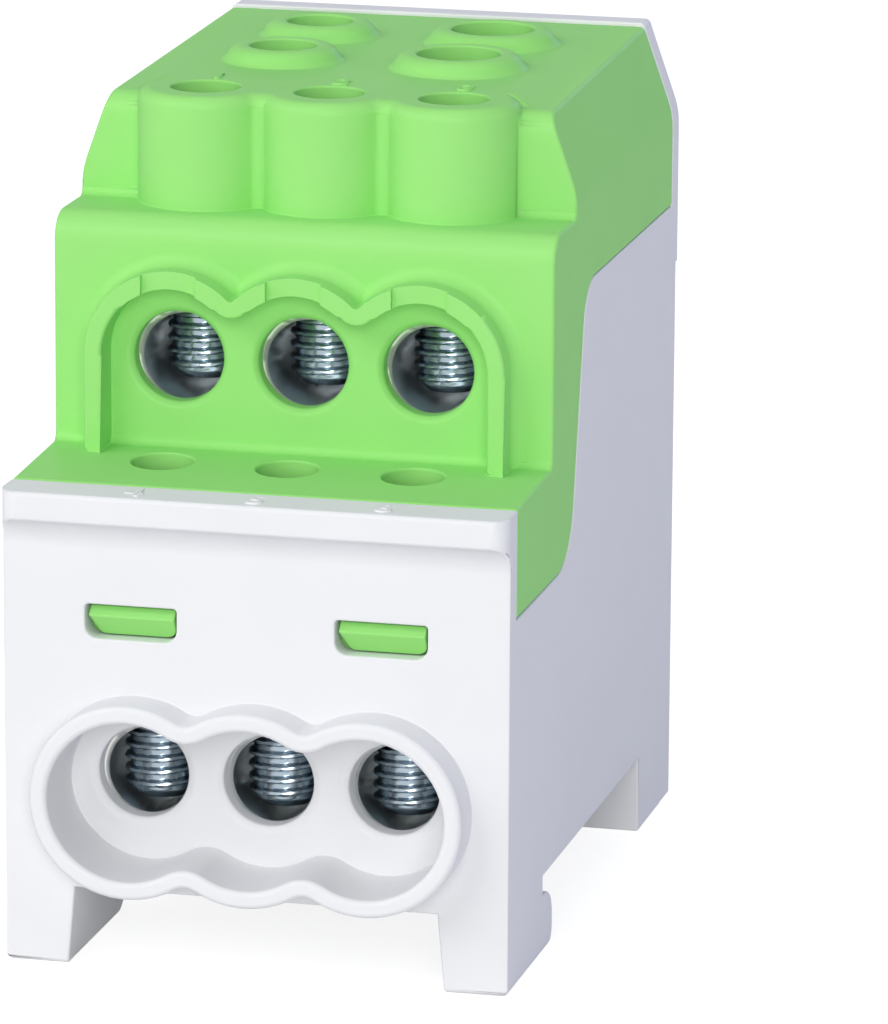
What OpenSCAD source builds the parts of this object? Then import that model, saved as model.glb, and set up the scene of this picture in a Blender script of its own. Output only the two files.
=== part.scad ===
// Rail-mounted distribution terminal. One plated metal block carries six small and two large
// conductors. It sits in a moulded base that hooks onto a 35 mm rail, under a snap-on cover.
// +X runs along the rail, +Y from the wire side with six entries to the back, +Z away from the rail.

/* [Overall] */
// Width along the rail
body_w = 40; // [38:0.5:46]
// Depth from the front wall's face to the back wall's face
body_d = 60; // [58:0.5:76]
// Height of the cover's top above the feet
top_z = 65.5; // [60:0.5:76]

/* [Walls] */
// Base side walls
side_t = 2; // [1.6:0.1:2.4]
// Base front wall
front_t = 2.2; // [1.8:0.1:2.6]
// Base back wall
back_t = 2.4; // [1.8:0.1:3]
// Base floor
floor_t = 2; // [1.4:0.1:2.6]
// Cover walls
cover_t = 1.8; // [1.4:0.1:2.1]
// Visible gap between the cover and the base
seam_gap = 0.12; // [0.05:0.01:0.2]

/* [Cover steps] */
// Height of the towers over the shelf at their feet
tower_h = 9; // [8:0.1:10]
// Height of the upper wire wall, from the ledge to the shelf
step_h = 18.1; // [17.5:0.1:19]
// Fall of the ledge towards the front wall's rim
ledge_fall = 0.5; // [0:0.1:0.8]
// Fall of the top's side edges towards the front
top_fall = 0.8; // [0:0.1:1]
// Face of the upper wire wall behind the front wall's face
upper_y = 14; // [13.5:0.1:15]
// Face of the flat ears beside the towers
ear_y = 21.7; // [20:0.1:23]
// Rounding along the shelf
shoulder_r = 2.2; // [0.5:0.1:2.4]
// Rounding along the ears' tops
ear_r = 1.8; // [0.5:0.1:2.2]
// Fillet at the feet of the walls
cove_r = 0.7; // [0.3:0.1:1.2]
// Height of the leaning part of the sides
slope_h = 7.1; // [6:0.1:8]
// How far each side has leaned in at the top
slope_in = 2.5; // [1:0.1:3.5]

/* [Seam on the sides] */
// Drop of the rear stretch below the top
seam_drop = 14.8; // [14:0.1:16]
// Corner at the foot of the leaning stretch
seam_foot_y = 20.7; // [18:0.1:24]
// Corner at the top of the leaning stretch
seam_top_y = 25.4; // [24.5:0.1:30]

/* [Small conductors] */
// Height of the lower row
lower_z = 14.7; // [14.2:0.1:15.4]
// Height of the upper row over the ledge
upper_rise = 7.1; // [6.6:0.1:7.6]
// Hole in the plastic wall
entry_d = 7.2; // [7:0.1:7.6]
// Bore in the metal block
bore_d = 6.9; // [6.6:0.1:7.2]
// Clamp screw thread
screw_d = 6; // [5:0.1:6]
// Length of a lower clamp screw
lower_screw_l = 11.5; // [10:0.1:12.5]
// Length of an upper clamp screw
upper_screw_l = 12; // [11:0.1:13]
// How far the screw tips stand past the bore's middle at rest
tip_depth = 2.6; // [1.5:0.05:2.65]
// Driver holes in the ledge
ledge_hole_d = 4.9; // [4:0.1:5.5]
// Driver holes in the towers
tower_hole_d = 5.5; // [4:0.1:5.6]
// Lower screws' axes behind the front wall's face
lower_screw_y = 9.6; // [9.4:0.1:10.4]
// Upper screws' axes behind the front wall's face
upper_screw_y = 22.2; // [21.5:0.1:23]
// Outer radius of a tower
tower_r = 5.3; // [5:0.1:5.7]

/* [Large conductors] */
// Drop of both below the upper row
supply_drop = 5.5; // [4.9:0.1:6]
// Bore of the larger one
large_bore_d = 10; // [9.4:0.1:10.4]
// Bore of the smaller one
small_bore_d = 8; // [7.4:0.1:8.6]
// Clamp screw thread of the larger one
large_screw_d = 8; // [7:0.1:8]
// Clamp screw length of the larger one
large_screw_l = 16; // [14:0.1:17]
// Clamp screw length of the smaller one
small_screw_l = 15; // [13:0.1:16]
// Driver hole over the larger one's screws
large_hole_d = 6.7; // [5:0.1:7]
// Driver hole over the smaller one's screws
small_hole_d = 5.4; // [4:0.1:5.6]
// Spacing of the two screws of one conductor
screw_gap = 11.7; // [11.4:0.1:12.5]
// Height of the ring bosses on the top
ring_h = 1.2; // [0.6:0.1:2]
// How much wider than its hole a ring boss is, on each side
ring_w = 2.1; // [1.4:0.1:2.2]

/* [Wire collars] */
// How far the lower collar stands out of the front wall
collar_h = 3.6; // [2:0.1:5]
// Middle height of the lower collar's lobes
collar_z = 14.2; // [14.1:0.1:14.6]
// Inner radius of a lobe
lobe_r = 6.3; // [6:0.1:6.4]
// Wall of both collars
collar_t = 1.4; // [1:0.1:1.5]
// Depth of the entries' mouths behind the front wall's face
recess_y = 4; // [3:0.1:4.2]
// How far the upper collar stands out of its wall
arch_h = 3; // [1.5:0.1:4]
// Inner radius of an arch
arch_r = 5.4; // [5.1:0.1:5.6]
// Fillet round the upper collar's foot
arch_cove = 1.1; // [0.4:0.1:1.3]

/* [Rail foot] */
// Width of the mounting rail
rail_w = 35; // [35:0.5:36]
// Play between rail and foot
rail_play = 0.4; // [0.2:0.1:0.8]
// Front edge of the rail behind the front wall's face
rail_y = 12.1; // [11:0.1:12.5]
// Height of the face that lies on the rail
groove_z = 6.2; // [6:0.1:6.4]
// Slot for the rail's edge
hook_gap = 1.6; // [1.2:0.1:2]
// Reach of the front hooks under the rail
hook_l = 3.4; // [2:0.1:4]
// Width of a front foot at the bottom
foot_w = 5; // [4:0.1:6]

/* [Hidden] */
lower_names = ["lower_screw_left", "lower_screw_middle", "lower_screw_right"];
upper_names = ["upper_screw_left", "upper_screw_middle", "upper_screw_right"];
large_names = ["large_screw_front", "large_screw_rear"];
small_names = ["small_screw_front", "small_screw_rear"];

plastic_grey = [0.91, 0.92, 0.94];
plastic_green = [0.48, 0.82, 0.36];
plated_block = [0.72, 0.71, 0.68];
plated_screw = [0.66, 0.72, 0.78];

$fn = 64;
arc_steps = 8;
// Overlap that keeps cuts and joins clean
lap = 0.05;

half_w = body_w / 2;
// Heights that follow the top, and places across that follow the width
shelf_z = top_z - tower_h;
ledge_z = shelf_z - step_h;
rim_z = ledge_z - ledge_fall;
slope_z = top_z - slope_h;
upper_z = ledge_z + upper_rise;
supply_z = upper_z - supply_drop;
collar_top = collar_z + lobe_r + collar_t;
seam_high_z = top_z - seam_drop;
seam_low_z = collar_top + 0.45 * (ledge_z - collar_top);
pitch = body_w / 4;
lobe_pitch = pitch - 0.6;
supply_x = 0.72 * pitch;
// Edges of the cover between the base's front and back walls
cover_y0 = front_t + seam_gap;
cover_y1 = body_d - back_t - seam_gap;
// Fine rounding of moulded edges
edge_r = 0.4;
seam_foot_r = 5.4;
seam_top_r = 4;
// Height of the top's front edge at the ears
ear_z = top_z - top_fall;
// Rounding where the sides start to lean, and at the back wall's corners
bend_r = 7;
crest_r = 0.5;
// The back wall stands a little over the cover
back_rise = 0.3;

// Metal block: clear of the plastic walls by block_gap, seated on the base floor and ribs
block_gap = 0.3;
recess_floor_t = 1.6;
cup_y = recess_y + recess_floor_t;
block_w = body_w - 2 * (max(side_t, cover_t) + 0.5);
floor_z = groove_z + floor_t;
block_low_y = cup_y + block_gap;
block_low_top = lower_z + 8.9;
block_up_y = upper_y + cover_t + block_gap;
block_top = shelf_z - cover_t - 0.7;
sleeve_l = 3.3;
block_back_y = body_d - back_t - sleeve_l - block_gap;
block_column_y = block_up_y + 8;
block_rear_z = supply_z - 8;
bore_depth = 12;
// The small bores sit a little lower than the holes in the plastic
bore_drop = 0.4;
lower_bore_z = lower_z - bore_drop;
upper_bore_z = upper_z - bore_drop;
// Screws of the large conductors, counted from the block's back face
supply_rear_y = block_back_y - 7;
supply_front_y = supply_rear_y - screw_gap;
supply_y = [supply_front_y, supply_rear_y];
supply_bore_end = supply_front_y - large_screw_d / 2 - 1;
thread_play = 0.08;
large_tip_depth = 2.5;
small_tip_depth = 2;

// Rail slot
rail_end = rail_y + rail_w + rail_play;
hook_top = groove_z - hook_gap;

// A unit vector, and the points of a corner p = [x, y, radius] rounded towards its neighbours
function unit(v) = v / norm(v);
function corner(a, p, b) =
    let (m = [p[0], p[1]],
         u = unit([a[0], a[1]] - m),
         v = unit([b[0], b[1]] - m),
         half = acos(u * v) / 2,
         c = m + unit(u + v) * p[2] / sin(half),
         s = m + u * p[2] / tan(half) - c,
         e = m + v * p[2] / tan(half) - c,
         from = atan2(s[1], s[0]),
         turn = (atan2(e[1], e[0]) - from + 540) % 360 - 180)
    [for (i = [0 : arc_steps]) let (a = from + turn * i / arc_steps) c + p[2] * [cos(a), sin(a)]];
function rounded(pts) =
    let (n = len(pts))
    [for (i = [0 : n - 1])
        each pts[i][2] == 0 ? [[pts[i][0], pts[i][1]]]
                            : corner(pts[(i + n - 1) % n], pts[i], pts[(i + 1) % n])];

// Extrude an XZ outline from y0 to y1, or a YZ outline from x0 to x1
module along_y(y0, y1) translate([0, y1, 0]) rotate([90, 0, 0]) linear_extrude(y1 - y0) children();
module along_x(x0, x1) translate([x0, 0, 0]) rotate([90, 0, 90]) linear_extrude(x1 - x0) children();

// Put the middle of the object's depth over the origin
module place() translate([0, (collar_h - body_d) / 2, 0]) children();

// A thing, and its mirror image across the middle
module both_sides() {
    children();
    mirror([1, 0, 0]) children();
}

// Round hole along +Y from y0, with a conical mouth, wider by mouth on each side and sink deep
module entry_hole(x, y0, y1, z, d, mouth, sink) {
    translate([x, y0 - lap, z]) rotate([-90, 0, 0]) {
        cylinder(d = d, h = y1 - y0 + 2 * lap);
        cylinder(d1 = d + 2 * mouth * (1 + lap / sink), d2 = d, h = sink + lap);
    }
}

// Three circles in a row, merged by rounded valleys. The valley circles are a hair too large, so
// that they cross the lobes instead of only touching them
module lobes(r, gap, valley_r) {
    for (i = [-1 : 1]) translate([i * gap, 0]) circle(r);
    valleys(r, gap, valley_r);
}
valley_cross = 0.004;
module valleys(r, gap, valley_r) {
    rise = sqrt(pow(r + valley_r, 2) - pow(gap / 2, 2));
    for (i = [-0.5, 0.5], side = [-1, 1]) difference() {
        polygon([[(i - 0.5) * gap, 0], [(i + 0.5) * gap, 0], [i * gap, side * rise]]);
        translate([i * gap, side * rise]) circle(valley_r + valley_cross);
    }
}

// Outline of the body across its width: straight sides that lean in at the top
module crown(inset, top, crest) {
    w = half_w - inset;
    lean = slope_in * (top - slope_z) / slope_h;
    polygon(rounded([[-w, 0, 0], [w, 0, 0], [w, slope_z, bend_r], [w - lean, top, crest],
                     [lean - w, top, crest], [-w, slope_z, bend_r]]));
}

// Base housing

// Side walls end at the seam with the cover
module base_side() {
    along_x(half_w - side_t, half_w)
        polygon(rounded([[0, groove_z, 0], [body_d, groove_z, 0], [body_d, seam_high_z, 0],
                         [seam_top_y, seam_high_z, seam_top_r], [seam_foot_y, seam_low_z, seam_foot_r],
                         [0, seam_low_z, 0]]));
}

// Grip rim on the front wall: a proud bar over a cove, its ends rounded in plan, its top falling a little
rim_out = 1.5;
rim_h = 2.3;
rim_fall = 0.15;
rim_cove_r = 2.5;
rim_end_r = 1.5;
module rim() {
    rise = acos(1 - rim_out / rim_cove_r);
    foot_z = rim_z - rim_h - rim_cove_r * sin(rise);
    cove = [for (i = [0 : arc_steps]) [rim_cove_r * (cos(rise * i / arc_steps) - 1),
                                       foot_z + rim_cove_r * sin(rise * i / arc_steps)]];
    front = rounded([[front_t, foot_z, 0], [0, foot_z, 0], [-rim_out, rim_z - rim_h, 0],
                     [-rim_out, rim_z - rim_fall, edge_r], [front_t, rim_z, 0]]);
    intersection() {
        along_x(-half_w, half_w) polygon(concat(cove, [for (i = [3 : len(front) - 1]) front[i]], [front[0]]));
        translate([0, 0, foot_z - 1]) linear_extrude(rim_z - foot_z + 2)
            polygon(rounded([[-half_w, front_t, 0], [-half_w, -rim_out, rim_end_r],
                             [half_w, -rim_out, rim_end_r], [half_w, front_t, 0]]));
    }
}

// Front feet with the hooks that catch one edge of the rail, a little narrower at the bottom
foot_draft = 0.75;
module front_foot() {
    intersection() {
        along_x(half_w - foot_w - 1, half_w)
            polygon(rounded([[0, 0, edge_r], [rail_y + hook_l, 0, 1.4], [rail_y + hook_l, hook_top, 2.2],
                             [rail_y, hook_top, 0.1], [rail_y, floor_z - lap, 0], [0, floor_z - lap, 0]]));
        along_y(-1, rail_y + hook_l + 1)
            polygon(rounded([[half_w - foot_w, 0, 0], [half_w, 0, 0.5], [half_w, floor_z - lap, 0],
                             [half_w - foot_w - foot_draft, floor_z - lap, 0]]));
    }
}

// Rear foot, cored from below, with the lip that snaps under the rail's other edge
catch_w = 16;
catch_l = 1.4;
catch_lead = 3;
module rear_foot() {
    difference() {
        translate([-half_w, rail_end, 0]) cube([body_w, body_d - rail_end, floor_z - lap]);
        translate([-half_w + side_t, rail_end + side_t, -lap])
            cube([body_w - 2 * side_t, body_d - back_t - rail_end - side_t, groove_z + lap]);
    }
    along_x(-catch_w / 2, catch_w / 2)
        polygon([[rail_end + lap, hook_top - catch_lead], [rail_end - catch_l, hook_top - 1],
                 [rail_end - catch_l, hook_top - edge_r], [rail_end - catch_l + edge_r, hook_top],
                 [rail_end + lap, hook_top]]);
}

// Windows in the front wall for the cover's snap tabs
window_w = 7.3;
window_h = 2.7;
window_x = pitch - 0.1;
window_top = seam_low_z - 0.4;
module window_outline(grow) {
    w = window_w / 2 + grow;
    polygon(rounded([[-w, -window_h - grow, 1], [w, -window_h - grow, 1], [w, grow, 0.3], [-w, grow, 0.3]]));
}

// Ribs under the block, and sleeves that lead a conductor from the back wall to its bore
rib_t = 2;
rib_x = 1.2 * pitch;
sleeve_t = 1.4;
entry_play = 0.5;
module rib() {
    translate([rib_x - rib_t / 2, block_column_y + 0.4, floor_z - lap])
        cube([rib_t, body_d - back_t - block_column_y, block_rear_z - floor_z + lap]);
}
module sleeve(x, bore) {
    translate([x, body_d - back_t - sleeve_l, supply_z]) rotate([-90, 0, 0])
        cylinder(d = bore + 2 * (entry_play + sleeve_t), h = sleeve_l + lap);
}
module supply_entry(x, bore) {
    d = bore + 2 * entry_play;
    translate([x, body_d + lap, supply_z]) rotate([90, 0, 0]) {
        cylinder(d = d, h = back_t + sleeve_l + 3 * lap);
        cylinder(d1 = d + back_t, d2 = d, h = back_t / 2);
    }
}

// Shallow bands on the sides behind a soft step: one along the bottom that fades out towards the
// front, one up the back edge
band_t = 0.12;
band_fade = 0.75;
band_step = 0.8;
band_z = 10.2;
band_y = 3.8;
band_start = 8;
band_top = seam_high_z - 5;
module side_band() {
    translate([half_w, band_start, 0]) rotate([0, 0, atan(band_fade * band_t / (body_d - band_start))])
        along_y(-band_start, body_d)
            polygon([[0, -1], [1, -1], [1, band_z + band_step / band_t], [0, band_z]]);
    translate([half_w, body_d - band_y, -1]) linear_extrude(band_top + 1)
        polygon([[-band_t, 0], [0, -band_step], [1, -band_step], [1, band_y + 1], [-band_t, band_y + 1]]);
}

valley_r = 1.5;
// Shallow funnel round each lower entry
funnel_w = 0.75;
funnel_t = 0.4;
module base_housing() {
    color(plastic_grey) place() difference() {
        union() {
            both_sides() base_side();
            along_y(0, front_t) translate([-half_w, groove_z]) square([body_w, rim_z - rim_h - groove_z]);
            rim();
            along_y(body_d - back_t, body_d) crown(0, top_z + back_rise, crest_r);
            translate([-half_w, 0, groove_z]) cube([body_w, body_d, floor_t]);
            both_sides() front_foot();
            rear_foot();
            along_y(-collar_h, cup_y) translate([0, collar_z]) lobes(lobe_r + collar_t, lobe_pitch, valley_r);
            both_sides() rib();
            sleeve(supply_x, large_bore_d);
            sleeve(-supply_x, small_bore_d);
        }
        along_y(-collar_h - 1, recess_y - funnel_t) translate([0, collar_z])
            lobes(lobe_r, lobe_pitch, valley_r + collar_t);
        for (i = [-1 : 1])
            entry_hole(i * pitch, recess_y - funnel_t, cup_y, lower_z, entry_d, funnel_w, funnel_t);
        both_sides() along_y(-1, front_t + lap) translate([window_x, window_top]) window_outline(0);
        supply_entry(supply_x, large_bore_d);
        supply_entry(-supply_x, small_bore_d);
        both_sides() side_band();
    }
}

// Cover

// Region inside an arched outline, from the ledge up
arch_z = upper_z + 0.5;
arch_valley_r = 0.4;
module arches(r, valley) {
    translate([0, arch_z]) lobes(r, pitch, valley);
    translate([-pitch - r, ledge_z - cover_t / 2]) square([2 * (pitch + r), arch_z - ledge_z + cover_t / 2]);
}

// Concave quarter fillet of radius f in the corner at the origin
module cove_section(f) {
    difference() {
        translate([-lap, -lap]) square(f + lap);
        translate([f, f]) circle(f);
    }
}

// Collar of three arches on the upper wire wall, its foot swept into the wall
crown_notch_w = 4.4;
crown_notch_t = 0.55;
module arch_collar() {
    outer = arch_r + collar_t;
    reach = pitch + outer;
    difference() {
        along_y(upper_y - arch_h, upper_y + lap) difference() {
            arches(outer, arch_valley_r);
            arches(arch_r, arch_valley_r + collar_t);
        }
        for (i = [-1 : 1]) translate([i * pitch - crown_notch_w / 2, upper_y - arch_h - 1, arch_z])
            cube([crown_notch_w, 1 + crown_notch_t, outer + 1]);
    }
    for (i = [-1 : 1]) intersection() {
        translate([i * pitch, upper_y, arch_z]) rotate([90, 0, 0])
            rotate_extrude() translate([outer, 0]) cove_section(arch_cove);
        x0 = i < 0 ? -reach - 2 : (i - 0.5) * pitch;
        x1 = i > 0 ? reach + 2 : (i + 0.5) * pitch;
        translate([x0, upper_y - arch_h, arch_z]) cube([x1 - x0, arch_h + 1, outer + 2]);
    }
    both_sides() translate([reach, upper_y, rim_z]) linear_extrude(arch_z - rim_z)
        mirror([0, 1]) cove_section(arch_cove);
}

// Towers round the upper clamp screws, joined by rounded valleys, their top edges rounded
tower_edge_r = 1;
tower_valley_r = 0.8;
tower_wall = 1.9;
module towers() {
    root = shelf_z - cover_t;
    translate([0, upper_screw_y, root]) linear_extrude(top_z - root - tower_edge_r)
        valleys(tower_r, pitch, tower_valley_r);
    for (i = [-1 : 1]) translate([i * pitch, upper_screw_y, root])
        rotate_extrude() polygon(rounded([[0, 0, 0], [tower_r, 0, 0], [tower_r, top_z - root, tower_edge_r],
                                          [0, top_z - root, 0]]));
}

// Crowned middle of the top: flush with the towers, rounded over between them, and falling away to
// the sides. Its ends over the ears rise softly
crown_flat = 1.42 * pitch;
crown_end = 1.72 * pitch;
crown_root = top_z - 1.5;
module top_crown() {
    valley = sqrt(pow(tower_r + tower_valley_r, 2) - pow(pitch / 2, 2)) - tower_valley_r;
    front = upper_screw_y - valley + 0.02;
    along_x(-pitch, pitch)
        polygon(rounded([[front, crown_root, 0], [front, top_z, tower_edge_r],
                         [cover_y1, top_z, 0], [cover_y1, crown_root, 0]]));
    intersection() {
        along_y(ear_y, cover_y1)
            polygon([[-crown_end, crown_root], [crown_end, crown_root], [crown_end, ear_z - 0.3],
                     [crown_flat, top_z], [-crown_flat, top_z], [-crown_end, ear_z - 0.3]]);
        along_x(-half_w, half_w)
            polygon([[ear_y + ear_r, crown_root], [ear_y + ear_r, ear_z - 0.1],
                     [ear_y + ear_r + 2.2, top_z + 0.1], [cover_y1, top_z + 0.1], [cover_y1, crown_root]]);
    }
}

// Raised ring round a driver hole on the top, swept up from it and domed
ring_lean = 0.8;
ring_skirt = 0.7;
module ring_boss(x, y, hole) {
    r = hole / 2 + ring_w;
    translate([x, y, top_z])
        rotate_extrude() polygon(rounded([[hole / 2 - 0.3, -cover_t / 2, 0],
                                          [r + ring_skirt, -cover_t / 2, 0], [r + ring_skirt, -0.1, 0],
                                          [r, 0, 1.1], [r - ring_lean, ring_h, 1.3],
                                          [hole / 2, ring_h, 0.4], [hole / 2 - 0.3, ring_h - 1, 0]]));
}
module driver_hole(x, y, d) {
    translate([x, y, ear_z - cover_t - 0.4]) cylinder(d = d, h = top_fall + cover_t + ring_h + 1);
}

// Snap tongue behind the front wall, with the tab that fills a window. The tab's top is bevelled and
// its left end cut back towards the bottom
tongue_w = 8.5;
tab_play = 0.25;
tab_inset = 0.8;
tab_bevel = 0.7;
tab_cut = 0.8;
module snap_tongue(x) {
    foot = window_top - window_h - 1;
    translate([x - tongue_w / 2, cover_y0, foot]) cube([tongue_w, cover_t, ledge_z - cover_t / 2 - foot]);
    low = window_top - window_h + tab_play / 2;
    high = window_top - tab_play;
    w = window_w / 2 - tab_play;
    intersection() {
        along_x(x - window_w, x + window_w)
            polygon([[cover_y0 + lap, low - 1], [tab_inset, low - 1], [tab_inset, high - tab_bevel],
                     [tab_inset + tab_bevel, high], [cover_y0 + lap, high]]);
        along_y(-1, cover_y0 + lap) translate([x, 0])
            polygon(rounded([[-w, high + 1, 0], [-w, high - tab_bevel, 0.8], [tab_cut - w, low, 0.6],
                             [w, low, 0.8], [w, high + 1, 0]]));
    }
}

// Hollow under the cover
module cover_cavity() {
    t = cover_t;
    intersection() {
        along_x(-half_w, half_w)
            polygon([[cover_y0 + t, 0], [cover_y0 + t, rim_z - t], [upper_y + t, ledge_z - t],
                     [upper_y + t, shelf_z - t], [ear_y + t, shelf_z - t], [ear_y + t, ear_z - t],
                     [cover_y1 - t, top_z - t], [cover_y1 - t, 0]]);
        along_y(0, body_d) crown(t, top_z + 2, 0);
    }
}

module cover() {
    color(plastic_green) place() difference() {
        union() {
            difference() {
                union() {
                    intersection() {
                        along_x(-half_w, half_w)
                            polygon(rounded([[cover_y0, seam_low_z + seam_gap, 0], [cover_y0, rim_z, edge_r],
                                             [upper_y, ledge_z, cove_r], [upper_y, shelf_z, shoulder_r],
                                             [ear_y, shelf_z, cove_r], [ear_y, ear_z, ear_r],
                                             [cover_y1, top_z, 0], [cover_y1, seam_high_z + seam_gap, 0],
                                             [seam_top_y - seam_gap, seam_high_z + seam_gap, seam_top_r],
                                             [seam_foot_y - seam_gap, seam_low_z + seam_gap, seam_foot_r]]));
                        along_y(0, body_d) crown(0, top_z + 2, 0);
                    }
                    towers();
                    top_crown();
                }
                cover_cavity();
            }
            for (y = supply_y) {
                ring_boss(supply_x, y, large_hole_d);
                ring_boss(-supply_x, y, small_hole_d);
            }
            arch_collar();
            for (x = [-window_x, window_x]) snap_tongue(x);
        }
        for (i = [-1 : 1]) {
            translate([i * pitch, lower_screw_y, rim_z - cover_t - lap])
                cylinder(d = ledge_hole_d, h = cover_t + 1);
            translate([i * pitch, upper_screw_y, shelf_z - cover_t - lap])
                cylinder(r = tower_r - tower_wall, h = top_z - shelf_z + lap);
            translate([i * pitch, upper_screw_y, top_z - cover_t - lap])
                cylinder(d = tower_hole_d, h = cover_t + 1);
            entry_hole(i * pitch, upper_y, upper_y + cover_t, upper_z, entry_d, 0.4, 0.4);
        }
        for (y = supply_y) {
            driver_hole(supply_x, y, large_hole_d);
            driver_hole(-supply_x, y, small_hole_d);
        }
    }
}

// Terminal block

mouth_chamfer = 0.4;
module terminal_block() {
    color(plated_block) place() difference() {
        along_x(-block_w / 2, block_w / 2)
            polygon(rounded([[block_low_y, floor_z, edge_r], [block_low_y, block_low_top, edge_r],
                             [block_up_y, block_low_top, edge_r], [block_up_y, block_top, edge_r],
                             [block_back_y, block_top, edge_r], [block_back_y, block_rear_z, edge_r],
                             [block_column_y, block_rear_z, edge_r], [block_column_y, floor_z, edge_r]]));
        for (i = [-1 : 1]) {
            block_bore(i * pitch, block_low_y, lower_bore_z);
            block_bore(i * pitch, block_up_y, upper_bore_z);
            screw_hole(i * pitch, lower_screw_y, lower_bore_z, block_low_top, screw_d);
            screw_hole(i * pitch, upper_screw_y, upper_bore_z, block_top, screw_d);
        }
        supply_bore(supply_x, large_bore_d);
        supply_bore(-supply_x, small_bore_d);
        for (y = supply_y) {
            screw_hole(supply_x, y, supply_z, block_top, large_screw_d);
            screw_hole(-supply_x, y, supply_z, block_top, screw_d);
        }
    }
}

// Blind bore for a small conductor, from a front face of the block
module block_bore(x, y, z) entry_hole(x, y, y + bore_depth, z, bore_d, mouth_chamfer, mouth_chamfer);

// Threaded hole from the block's top into a bore
module screw_hole(x, y, z0, z1, d) {
    translate([x, y, z0]) cylinder(r = d / 2 + thread_play, h = z1 - z0 + lap);
}

// Blind bore for a large conductor, from the block's back face
module supply_bore(x, d) {
    translate([x, supply_bore_end, supply_z]) rotate([-90, 0, 0])
        cylinder(d = d, h = block_back_y - supply_bore_end + lap);
    translate([x, block_back_y + lap, supply_z]) rotate([90, 0, 0])
        cylinder(d1 = d + 2 * mouth_chamfer, d2 = d, h = mouth_chamfer);
}

// Clamp screws: a threaded pin with a chamfered tip, tip at z, with a slot or a hexagon socket on top
tip_chamfer = 0.18;
slot_w = 1;
slot_t = 2;
module clamp_screw(x, y, z, d, l, socket) {
    c = d * tip_chamfer;
    color(plated_screw) place() translate([x, y, z]) difference() {
        rotate_extrude() polygon([[0, 0], [d / 2 - c, 0], [d / 2, c], [d / 2, l - c / 2],
                                  [d / 2 - c / 2, l], [0, l]]);
        if (socket) translate([0, 0, l - d / 2]) cylinder(d = d * 0.575, h = d, $fn = 6);
        else translate([-d, -slot_w / 2, l - slot_t]) cube([2 * d, slot_w, slot_t + 1]);
    }
}

module lower_screw(i)
    clamp_screw((i - 1) * pitch, lower_screw_y, lower_bore_z - tip_depth, screw_d, lower_screw_l, false);
module upper_screw(i)
    clamp_screw((i - 1) * pitch, upper_screw_y, upper_bore_z - tip_depth, screw_d, upper_screw_l, false);
module large_screw(i)
    clamp_screw(supply_x, supply_y[i], supply_z - large_tip_depth, large_screw_d, large_screw_l, true);
module small_screw(i)
    clamp_screw(-supply_x, supply_y[i], supply_z - small_tip_depth, screw_d, small_screw_l, false);

base_housing();
cover();
terminal_block();
for (i = [0 : 2]) lower_screw(i);
for (i = [0 : 2]) upper_screw(i);
for (i = [0 : 1]) large_screw(i);
for (i = [0 : 1]) small_screw(i);
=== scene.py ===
import math

import bmesh
import bpy
from mathutils import Matrix, Vector


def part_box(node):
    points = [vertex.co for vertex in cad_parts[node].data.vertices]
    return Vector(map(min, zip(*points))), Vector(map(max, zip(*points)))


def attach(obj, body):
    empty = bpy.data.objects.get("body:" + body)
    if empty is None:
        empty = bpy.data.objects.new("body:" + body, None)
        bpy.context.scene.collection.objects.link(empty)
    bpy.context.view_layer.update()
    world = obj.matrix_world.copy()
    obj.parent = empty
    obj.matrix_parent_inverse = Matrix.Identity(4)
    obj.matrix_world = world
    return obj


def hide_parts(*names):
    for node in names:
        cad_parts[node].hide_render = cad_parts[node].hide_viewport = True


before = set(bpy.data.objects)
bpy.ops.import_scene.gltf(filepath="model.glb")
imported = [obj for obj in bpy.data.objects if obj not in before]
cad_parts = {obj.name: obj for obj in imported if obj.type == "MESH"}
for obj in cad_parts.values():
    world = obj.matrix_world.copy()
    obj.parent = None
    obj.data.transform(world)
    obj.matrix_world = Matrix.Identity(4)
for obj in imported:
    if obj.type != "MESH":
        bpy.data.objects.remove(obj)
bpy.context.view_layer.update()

# The base is one moulding of light grey plastic: walls, floor, rail feet, lower collar and sleeves.
# It comes from a spark-eroded mould, so it is satin, and nearly every edge has a small radius.
mm = 0.001
crease = math.radians(35)


class Wire:
    """A socket in a node tree. It works in sums, and node() adds any other node to its tree."""

    def __init__(self, tree, socket=None):
        self.tree = tree
        self.socket = socket

    def node(self, kind, settings=None, values=None, out=0):
        made = self.tree.nodes.new(kind)
        for name, value in (settings or {}).items():
            setattr(made, name, value)
        for name, value in (values or {}).items():
            if isinstance(value, Wire):
                self.tree.links.new(value.socket, made.inputs[name])
            else:
                made.inputs[name].default_value = value
        return Wire(self.tree, made.outputs[out] if len(made.outputs) else None)

    def pick(self, name):
        return Wire(self.tree, self.socket.node.outputs[name])

    def maths(self, operation, *values):
        return self.node("ShaderNodeMath", {"operation": operation}, dict(enumerate(values)))

    def limited(self):
        return self.node("ShaderNodeClamp", {}, {"Value": self})

    def mixed(self, low, high):
        return self.node("ShaderNodeMix", {"data_type": "RGBA"}, {0: self, 6: low, 7: high}, 2)

    def __add__(self, other):
        return self.maths("ADD", self, other)

    def __radd__(self, other):
        return self.maths("ADD", other, self)

    def __sub__(self, other):
        return self.maths("SUBTRACT", self, other)

    def __rsub__(self, other):
        return self.maths("SUBTRACT", other, self)

    def __mul__(self, other):
        return self.maths("MULTIPLY", self, other)

    def __rmul__(self, other):
        return self.maths("MULTIPLY", other, self)

    def __truediv__(self, other):
        return self.maths("DIVIDE", self, other)


def new_material(name):
    made = bpy.data.materials.new(name)
    made.use_nodes = True
    made.node_tree.nodes.clear()
    return made, Wire(made.node_tree).node("ShaderNodeTexCoord", out="Object")


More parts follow.
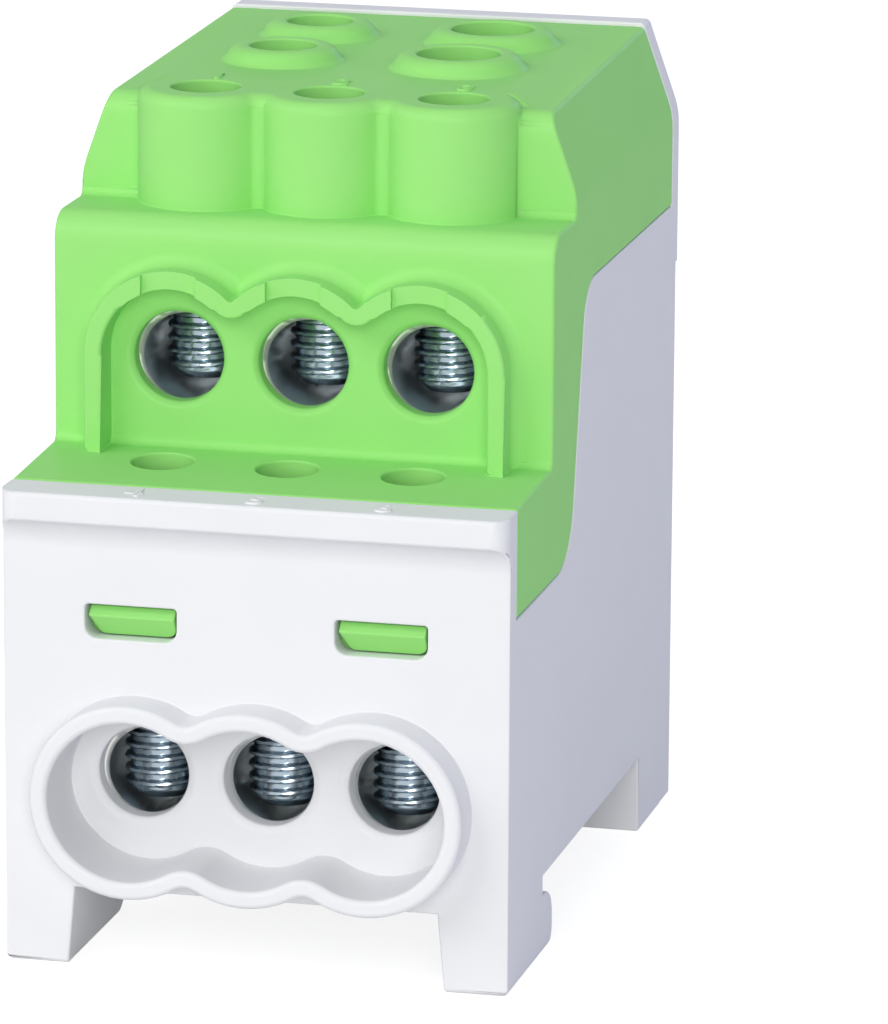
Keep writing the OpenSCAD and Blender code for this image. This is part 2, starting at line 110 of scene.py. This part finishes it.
def satin_plastic(name, pale, deep, roughness):
    made, place = new_material(name)
    cloud = place.node("ShaderNodeTexNoise", {}, {"Vector": place, "Scale": 130.0, "Detail": 3.0})
    grain = place.node("ShaderNodeTexNoise", {}, {"Vector": place, "Scale": 3600.0, "Detail": 2.0})
    dent = place.node("ShaderNodeBump", {}, {"Strength": 0.1, "Distance": 0.00003, "Height": grain})
    skin = place.node("ShaderNodeBsdfPrincipled", {}, {
        "Base Color": cloud.mixed(deep, pale),
        "Roughness": roughness + 0.12 * (grain - 0.5) + 0.06 * (cloud - 0.5),
        "Specular IOR Level": 0.0,
        "Coat Weight": 0.2,
        "Coat Roughness": 0.3,
        "Coat IOR": 1.46,
        "Sheen Weight": 0.05,
        "Sheen Roughness": 0.4,
        "Sheen Tint": (0.3, 0.4, 1.0, 1),
        "Normal": dent,
        "Coat Normal": dent,
    })
    place.node("ShaderNodeOutputMaterial", {}, {"Surface": skin})
    return made


def moulded(node, name, materials, radii, radius_of, reshape=None):
    """A copy of a CAD node with its edges rounded. radius_of gives an edge's radius, in mm."""
    weld = 2e-6
    nearly_flat = math.radians(0.4)
    sharp = math.radians(31)
    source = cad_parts[node]
    bm = bmesh.new()
    bm.from_mesh(source.data)
    bm.transform(source.matrix_world)
    bmesh.ops.remove_doubles(bm, verts=bm.verts, dist=weld)
    bmesh.ops.dissolve_degenerate(bm, edges=bm.edges, dist=weld)
    bmesh.ops.dissolve_limit(bm, angle_limit=nearly_flat, verts=bm.verts, edges=bm.edges)
    if reshape:
        reshape(bm)
    for radius in radii:
        bm.normal_update()
        edges = []
        for e in bm.edges:
            if len(e.link_faces) == 2 and e.calc_face_angle(0) > sharp:
                middle = (e.verts[0].co + e.verts[1].co) / 2 / mm
                normals = [f.normal for f in e.link_faces]
                if radius_of(middle, normals, e.is_convex) == radius:
                    edges.append(e)
        bmesh.ops.bevel(
            bm, geom=edges, offset=radius * mm, offset_type="OFFSET", segments=4, profile=0.5,
            affect="EDGES", clamp_overlap=False, loop_slide=False)
    for f in bm.faces:
        f.smooth = True
    mesh = bpy.data.meshes.new(name)
    bm.to_mesh(mesh)
    bm.free()
    mesh.set_sharp_from_angle(angle=crease)
    for material in materials:
        mesh.materials.append(material)
    piece = bpy.data.objects.new(name, mesh)
    bpy.context.scene.collection.objects.link(piece)
    flat = piece.modifiers.new("flat faces stay flat", "WEIGHTED_NORMAL")
    flat.keep_sharp = True
    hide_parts(node)
    return piece


# Radii of the base's edges, in mm, and the places that set them: the lower collar's front, the rim's
# top and ends, the upper end of the band on the sides, and the inner corners that stay sharp, which
# are those of the feet and, on the front wall, those of the windows and the cove under the rim.
collar_radius = 0.45
base_edge_radius = 0.18
base_corner_radius = 0.1
collar_front = -31.75
rim_front, rim_top, rim_end = -28.1, 37.4, 19.45
side_face, band_low, band_high = 19.7, 45.5, 46
feet_top = 10
front_wall_back, windows_low, cove_high = -25, 23, 36


def base_radius(p, normals, convex):
    if p.y < collar_front:
        return collar_radius
    if abs(p.x) > side_face and band_low < p.z < band_high:
        return 0
    if p.y < rim_front and p.z > rim_top:
        return base_corner_radius if abs(p.x) > rim_end else 0
    if convex:
        return base_edge_radius
    on_front_wall = p.y < front_wall_back and windows_low < p.z < cove_high
    return 0 if p.z < feet_top or on_front_wall else base_corner_radius


grey_plastic = satin_plastic(
    "light_grey_plastic", (0.81, 0.81, 0.815, 1), (0.78, 0.78, 0.785, 1), 0.45)
base = moulded(
    "base_housing", "base_moulding", [grey_plastic],
    (collar_radius, base_edge_radius, base_corner_radius), base_radius)
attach(base, "housing")

# The block that joins the conductors is cut from brass bar, drilled from front and back and plated
# with tin. It drops into the base before the cover goes on. The drill leaves fine rings in the bores.


def plated_metal(name, pale, deep, roughness, ring):
    made, place = new_material(name)
    cloud = place.node("ShaderNodeTexNoise", {}, {"Vector": place, "Scale": 420.0, "Detail": 4.0})
    grain = place.node("ShaderNodeTexNoise", {}, {"Vector": place, "Scale": 6000.0, "Detail": 2.0})
    lines = place.node("ShaderNodeTexWave", {"bands_direction": "Y"}, {
        "Vector": place, "Scale": ring, "Distortion": 1.5, "Detail": 2.0})
    dent = place.node("ShaderNodeBump", {}, {
        "Strength": 0.25, "Distance": 0.00002, "Height": 0.6 * lines + 0.4 * grain})
    skin = place.node("ShaderNodeBsdfPrincipled", {}, {
        "Base Color": cloud.mixed(deep, pale),
        "Metallic": 1.0,
        "Roughness": roughness + 0.15 * (cloud - 0.5) + 0.1 * (grain - 0.5),
        "Normal": dent,
    })
    place.node("ShaderNodeOutputMaterial", {}, {"Surface": skin})
    return made


bore_rings = 900.0
tin_plate = plated_metal(
    "tin_plated_brass", (0.62, 0.65, 0.66, 1), (0.54, 0.57, 0.58, 1), 0.32, bore_rings)
# A paler, rougher copy of the tin plate: painted highlight where the countersunk chamfers catch the
# light.
mouth_painted_highlight = plated_metal(
    "countersunk_mouth_painted_highlight", (0.95, 0.94, 0.90, 1), (0.88, 0.87, 0.83, 1), 0.6, bore_rings)
block = moulded("terminal_block", "joining_block", [tin_plate, mouth_painted_highlight], (), None)

# The mouths of the six front bores are countersunk and face forward at 45 degrees. Their faces take the
# paler copy of the tin plate, a painted highlight.
columns = (-10, 0, 10)
bore_rows = (14.3, 45.1)
bore_axes = [(x, z) for x in columns for z in bore_rows]
mouth_reach = 4.2
mouth_normal = -math.cos(math.radians(45))
for face in block.data.polygons:
    at = face.center / mm
    to_bore = min(math.hypot(at.x - x, at.z - z) for x, z in bore_axes)
    if abs(face.normal.y - mouth_normal) < 0.02 and to_bore < mouth_reach:
        face.material_index = 1
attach(block, "housing")

# Ten steel clamp screws turn down through the block onto the conductors. Each is a threaded stud
# with a chamfered tip, plated with blue zinc. The M6 ones have a slot, the two M8 ones a hexagon.
turned_lines = 300.0
zinc_plate = plated_metal(
    "blue_zinc_plate", (0.44, 0.52, 0.58, 1), (0.33, 0.40, 0.45, 1), 0.24, turned_lines)


def threaded_stud():
    tree = bpy.data.node_groups.new("threaded_stud", "GeometryNodeTree")
    for name, kind in (
            ("Diameter", "NodeSocketFloat"), ("Length", "NodeSocketFloat"),
            ("Pitch", "NodeSocketFloat"), ("Tip", "NodeSocketVector"),
            ("Hexagon", "NodeSocketBool"), ("Plating", "NodeSocketMaterial")):
        tree.interface.new_socket(name, in_out="INPUT", socket_type=kind)
    tree.interface.new_socket("Screw", in_out="OUTPUT", socket_type="NodeSocketGeometry")
    given = Wire(tree).node("NodeGroupInput")
    width, length, pitch = given.pick("Diameter"), given.pick("Length"), given.pick("Pitch")
    tip, hexagon = given.pick("Tip"), given.pick("Hexagon")

    # A sheet of rows is rolled round the axis: two rows close each end, the others carry the thread.
    rows_per_turn, points_round, end_rows = 14, 72, 2
    rows = (length / pitch * rows_per_turn).maths("ROUND", length / pitch * rows_per_turn)
    sheet = given.node("GeometryNodeMeshGrid", {}, {
        "Size X": 1.0, "Size Y": 1.0,
        "Vertices X": points_round + 1, "Vertices Y": rows + (2 * end_rows + 1)})
    spot = given.node("ShaderNodeSeparateXYZ", {}, {0: sheet.pick("UV Map")})
    turn, row = spot.pick("X"), spot.pick("Y") * (rows + 2 * end_rows)
    height = ((row - end_rows) / rows).limited() * length
    closing = (row.maths("MINIMUM", row, rows + 2 * end_rows - row) / end_rows).limited()

    # The thread has a flat root, straight flanks and a crest that falls a little towards the head.
    # These are shares of the pitch.
    depth, half_crest, flank_run, crest_fall = 0.42, 0.1, 0.2, 0.3
    phase = height / pitch - turn
    across = phase.maths("FRACT", phase) - 0.5
    down = ((across.maths("ABSOLUTE", across) - half_crest) / flank_run).limited()
    flank = width / 2 - depth * pitch * down
    fall = width / 2 - crest_fall * pitch * (across + half_crest).limited()
    crest = flank.maths("MINIMUM", flank, fall)

    # Both ends are chamfered, the tip more than the head. These are shares of the diameter.
    tip_radius, head_radius = 0.32, 0.41
    at_tip = tip_radius * width + height
    at_head = head_radius * width + length - height
    radius = closing * crest.maths("MINIMUM", crest, at_tip.maths("MINIMUM", at_tip, at_head))
    angle = 2 * math.pi * turn
    rolled = given.node("ShaderNodeCombineXYZ", {}, {
        "X": radius * angle.maths("COSINE", angle),
        "Y": radius * angle.maths("SINE", angle),
        "Z": height,
    })
    stud = given.node("GeometryNodeSetPosition", {}, {"Geometry": sheet, "Position": rolled})
    stud = given.node("GeometryNodeMergeByDistance", {}, {"Geometry": stud, "Distance": 1e-6})

    # The driver seat is cut into the head: a slot, or a hexagon socket.
    socket_radius = 0.2875
    head = given.node("ShaderNodeCombineXYZ", {}, {"Z": length})
    slot_size = given.node("ShaderNodeCombineXYZ", {}, {
        "X": 1.5 * width, "Y": width / 6, "Z": width / 1.5})
    slot = given.node("GeometryNodeMeshCube", {}, {"Size": slot_size})
    socket = given.node("GeometryNodeMeshCylinder", {}, {
        "Vertices": 6, "Radius": socket_radius * width, "Depth": width})
    seat = given.node("GeometryNodeSwitch", {"input_type": "GEOMETRY"}, {
        "Switch": hexagon, "False": slot, "True": socket})
    seat = given.node("GeometryNodeTransform", {}, {"Geometry": seat, "Translation": head})
    cut = given.node("GeometryNodeMeshBoolean", {"operation": "DIFFERENCE", "solver": "MANIFOLD"}, {
        0: stud, 1: seat})
    placed = given.node("GeometryNodeTransform", {}, {"Geometry": cut, "Translation": tip})
    real = given.node("GeometryNodeRealizeInstances", {}, {"Geometry": placed})
    plated = given.node("GeometryNodeSetMaterial", {}, {
        "Geometry": real, "Material": given.pick("Plating")})
    given.node("NodeGroupOutput", {}, {"Screw": plated})
    return tree


stud_tree = threaded_stud()
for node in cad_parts:
    if "screw" not in node:
        continue
    low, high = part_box(node)
    width = high[0] - low[0]
    # A coarse thread: 1 mm on the M6 screws, 1.25 mm on the M8 ones.
    coarse_pitch = 0.25 * mm + width / 8
    sizes = {
        "Diameter": width, "Length": high[2] - low[2], "Pitch": coarse_pitch,
        "Tip": ((low[0] + high[0]) / 2, (low[1] + high[1]) / 2, low[2]),
        "Hexagon": node.startswith("large"), "Plating": zinc_plate,
    }
    screw = bpy.data.objects.new("threaded_" + node, bpy.data.meshes.new(node + "_start"))
    bpy.context.scene.collection.objects.link(screw)
    maker = screw.modifiers.new("stud", "NODES")
    maker.node_group = stud_tree
    for item in stud_tree.interface.items_tree:
        if item.in_out == "INPUT":
            maker[item.identifier] = sizes[item.name]
    graph = bpy.context.evaluated_depsgraph_get()
    mesh = bpy.data.meshes.new_from_object(screw.evaluated_get(graph), depsgraph=graph)
    screw.modifiers.remove(maker)
    screw.data = mesh
    mesh.name = screw.name
    mesh.shade_smooth()
    mesh.set_sharp_from_angle(angle=crease)
    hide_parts(node)
    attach(screw, node + "_body")

# The cover is one moulding of green plastic, snapped into the base. Its two steps carry the driver
# holes of the front rows, and its sides, which stand free, have a wider radius than the rest.
cover_side_radius = 0.3
cover_edge_radius = 0.18
tab_radius = 0.12
cover_corner_radius = 0.1
ring_radius = 0.05

# The places that set these radii, in mm: the free sides, the top's rear with its rings, the tabs in the
# windows, the valleys between the towers, the joints of towers and ears, and the arched collar's
# notches and front. The valleys, the joints and the notches stay sharp.
side_inner = 17
rings_front, rings_low, rings_side = 0, 65, 16
tabs_back, tabs_top = -25.5, 29
valley_x, valley_reach, valley_low, valley_back = 5, 1, 63, -3
joint_inner, joint_outer, joint_front, joint_back, joint_low = 15, 15.6, -7, -6, 56
notch_y, notch_reach, notch_low, notch_high = -17, 0.4, 50, 53
arch_front, arch_reach = -17.2, 0.05


def cover_radius(p, normals, convex):
    from_middle = abs(p.x)
    side = max(normals, key=lambda n: abs(n.x))
    other = min(normals, key=lambda n: abs(n.x))
    up_or_forward = abs(other.x) < 0.3 and other.z > -0.3 and other.y < 0.5
    if from_middle > side_inner and abs(side.x) > 0.9 and up_or_forward:
        return cover_side_radius
    if p.y > rings_front and p.z > rings_low and from_middle < rings_side:
        return ring_radius
    if p.y < tabs_back and p.z < tabs_top:
        return tab_radius
    if abs(from_middle - valley_x) < valley_reach and p.z > valley_low and p.y < valley_back:
        return 0
    at_ear = joint_inner < from_middle < joint_outer and joint_front < p.y < joint_back
    if at_ear and p.z > joint_low:
        return 0
    if abs(p.y - notch_y) < notch_reach and notch_low < p.z < notch_high:
        return 0
    if abs(p.y - arch_front) < arch_reach:
        return cover_side_radius
    return cover_edge_radius if convex else cover_corner_radius


def lean_tabs(bm):
    """The tabs in the windows stand nearly flush at the top and lean back to the bottom."""
    face_back, face_low, face_high = -26.2, 26, 29
    lean_from, lean, forward = 27.98, 0.65, 0.6
    for v in bm.verts:
        p = v.co / mm
        if p.y < face_back and face_low < p.z < face_high:
            v.co.y += (lean * max(lean_from - p.z, 0) - forward) * mm


green_plastic = satin_plastic(
    "green_plastic", (0.335, 0.755, 0.21, 1), (0.305, 0.725, 0.185, 1), 0.4)
cover = moulded(
    "cover", "snap_cover", [green_plastic],
    (cover_side_radius, cover_edge_radius, tab_radius, cover_corner_radius, ring_radius),
    cover_radius, lean_tabs)
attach(cover, "housing")

# The numbers of the eight conductors stand a hair proud of the mouldings: 1 to 3 behind the towers'
# holes, 4 to 6 on the base's rim, 7 and 8 between the rings. They are cut into the moulds.


def raised_numbers(name, material, height, rise, spots):
    """Digits of one height, in mm. A digit is about 0.7 of its font's size high."""
    digit_share = 0.7
    bm = bmesh.new()
    for digit, x, y, z in spots:
        words = bpy.data.curves.new(name, "FONT")
        words.body = digit
        words.align_x = "CENTER"
        words.align_y = "CENTER"
        words.size = height * mm / digit_share
        words.extrude = rise * mm
        words.resolution_u = 4
        sign = bpy.data.objects.new(name, words)
        bpy.context.scene.collection.objects.link(sign)
        graph = bpy.context.evaluated_depsgraph_get()
        mesh = bpy.data.meshes.new_from_object(sign.evaluated_get(graph), depsgraph=graph)
        mesh.transform(Matrix.Translation((x * mm, y * mm, z * mm)))
        bm.from_mesh(mesh)
        bpy.data.objects.remove(sign)
        bpy.data.meshes.remove(mesh)
    bmesh.ops.remove_doubles(bm, verts=bm.verts, dist=1e-6)
    bmesh.ops.recalc_face_normals(bm, faces=bm.faces)
    mesh = bpy.data.meshes.new(name)
    bm.to_mesh(mesh)
    bm.free()
    mesh.materials.append(material)
    piece = bpy.data.objects.new(name, mesh)
    bpy.context.scene.collection.objects.link(piece)
    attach(piece, "housing")


left, middle, right = columns
behind_towers, cover_top = -2.0, 65.5
ring_column, between_rings = 7.2, 12.95
raised_numbers("cover_numbers", green_plastic, height=2.1, rise=0.16, spots=[
    ("1", left, behind_towers, cover_top),
    ("2", middle, behind_towers, cover_top),
    ("3", right, behind_towers, cover_top),
    ("7", ring_column, between_rings, cover_top),
    ("8", -ring_column, between_rings, cover_top),
])
rim_left, rim_line, rim_face = -9.6, -27.95, 37.8
raised_numbers("rim_numbers", grey_plastic, height=2.2, rise=0.14, spots=[
    ("4", rim_left, rim_line, rim_face),
    ("5", middle, rim_line, rim_face),
    ("6", right, rim_line, rim_face),
])

# The studio: a white floor that runs out of sight and keeps a soft shadow, a white room, large soft
# lamps at the front and the upper left, weaker ones at the left and above, and two bluish ones, at the
# right and behind.
floor_mesh = bpy.data.meshes.new("floor")
reach = 6.0
floor_mesh.from_pydata(
    [(-reach, -reach, 0), (reach, -reach, 0), (reach, reach, 0), (-reach, reach, 0)], [], [(0, 1, 2, 3)])
floor = bpy.data.objects.new("floor", floor_mesh)
bpy.context.scene.collection.objects.link(floor)


def seen_directly(wire):
    """1 for what the camera sees, also by way of metal or through clear plastic."""
    path = wire.node("ShaderNodeLightPath")
    mirrored = path.maths("MAXIMUM", path.pick("Is Glossy Ray"), path.pick("Is Transmission Ray"))
    return path.maths("MAXIMUM", path.pick("Is Camera Ray"), mirrored)


white_floor, place = new_material("white_floor")
pale = place.node("ShaderNodeBsdfDiffuse", {}, {"Color": (0.85, 0.85, 0.85, 1)})
matt = place.node("ShaderNodeBsdfDiffuse", {}, {"Color": (0.45, 0.45, 0.45, 1)})
glow = place.node("ShaderNodeEmission", {}, {"Strength": 0.8})
shown = place.node("ShaderNodeAddShader", {}, {0: matt, 1: glow})
lit = place.node("ShaderNodeMixShader", {}, {0: seen_directly(place), 1: pale, 2: shown})
place.node("ShaderNodeOutputMaterial", {}, {"Surface": lit})
floor_mesh.materials.append(white_floor)

room = bpy.data.worlds.new("room")
room.use_nodes = True
room.node_tree.nodes.clear()
bpy.context.scene.world = room
air = Wire(room.node_tree)
soft = air.node("ShaderNodeBackground", {}, {"Color": (0.16, 0.17, 0.20, 1), "Strength": 1.0})
white = air.node("ShaderNodeBackground", {}, {"Color": (1, 1, 1, 1), "Strength": 1.0})
both = air.node("ShaderNodeMixShader", {}, {0: seen_directly(air), 1: soft, 2: white})
air.node("ShaderNodeOutputWorld", {}, {"Surface": both})

lamps_aim = Vector((0, 0, 0.035))


def soft_lamp(name, where, size, watts, colour):
    lamp = bpy.data.lights.new(name, "AREA")
    lamp.shape = "DISK"
    lamp.size = size
    lamp.energy = watts
    lamp.color = colour
    stand = bpy.data.objects.new(name, lamp)
    stand.location = where
    stand.rotation_euler = (lamps_aim - Vector(where)).to_track_quat("-Z", "Y").to_euler()
    bpy.context.scene.collection.objects.link(stand)


for name, where, size, watts, colour in (
        ("upper_left_lamp", (-0.8, -1.5, 1.5), 1.2, 14.5, (1, 1, 1)),
        ("front_lamp", (0.5, -2.0, 0.6), 1.2, 22.5, (1, 1, 1)),
        ("left_lamp", (-1.6, -0.6, 1.0), 1.2, 9.0, (1, 1, 1)),
        ("top_lamp", (0.0, 0.3, 2.0), 1.4, 5.0, (1, 1, 1)),
        ("right_lamp", (1.6, 0.2, 0.6), 1.2, 5.2, (0.76, 0.78, 1.0)),
        ("back_lamp", (0.6, 2.6, 0.75), 1.2, 9.0, (0.4, 0.45, 1.0))):
    soft_lamp(name, where, size, watts, colour)

# The camera: a long lens from the right and a little above, turned as in the photo. It aims past the
# object's right side, because the object stands left of the photo's middle.
eye = Vector((0.144073, -0.563006, 0.171619))
yaw, elevation, roll = (math.radians(degrees) for degrees in (13.5912, 13.6535, 0.3697))
lens = bpy.data.cameras.new("camera")
lens.lens = 263.491
lens.sensor_width = 36
lens.clip_start = 0.05
camera = bpy.data.objects.new("camera", lens)
camera.matrix_world = (
    Matrix.Translation(eye)
    @ Matrix.Rotation(yaw, 4, "Z")
    @ Matrix.Rotation(math.pi / 2 - elevation, 4, "X")
    @ Matrix.Rotation(roll, 4, "Z"))
bpy.context.scene.collection.objects.link(camera)
bpy.context.scene.camera = camera
bpy.context.scene.view_settings.view_transform = "Standard"
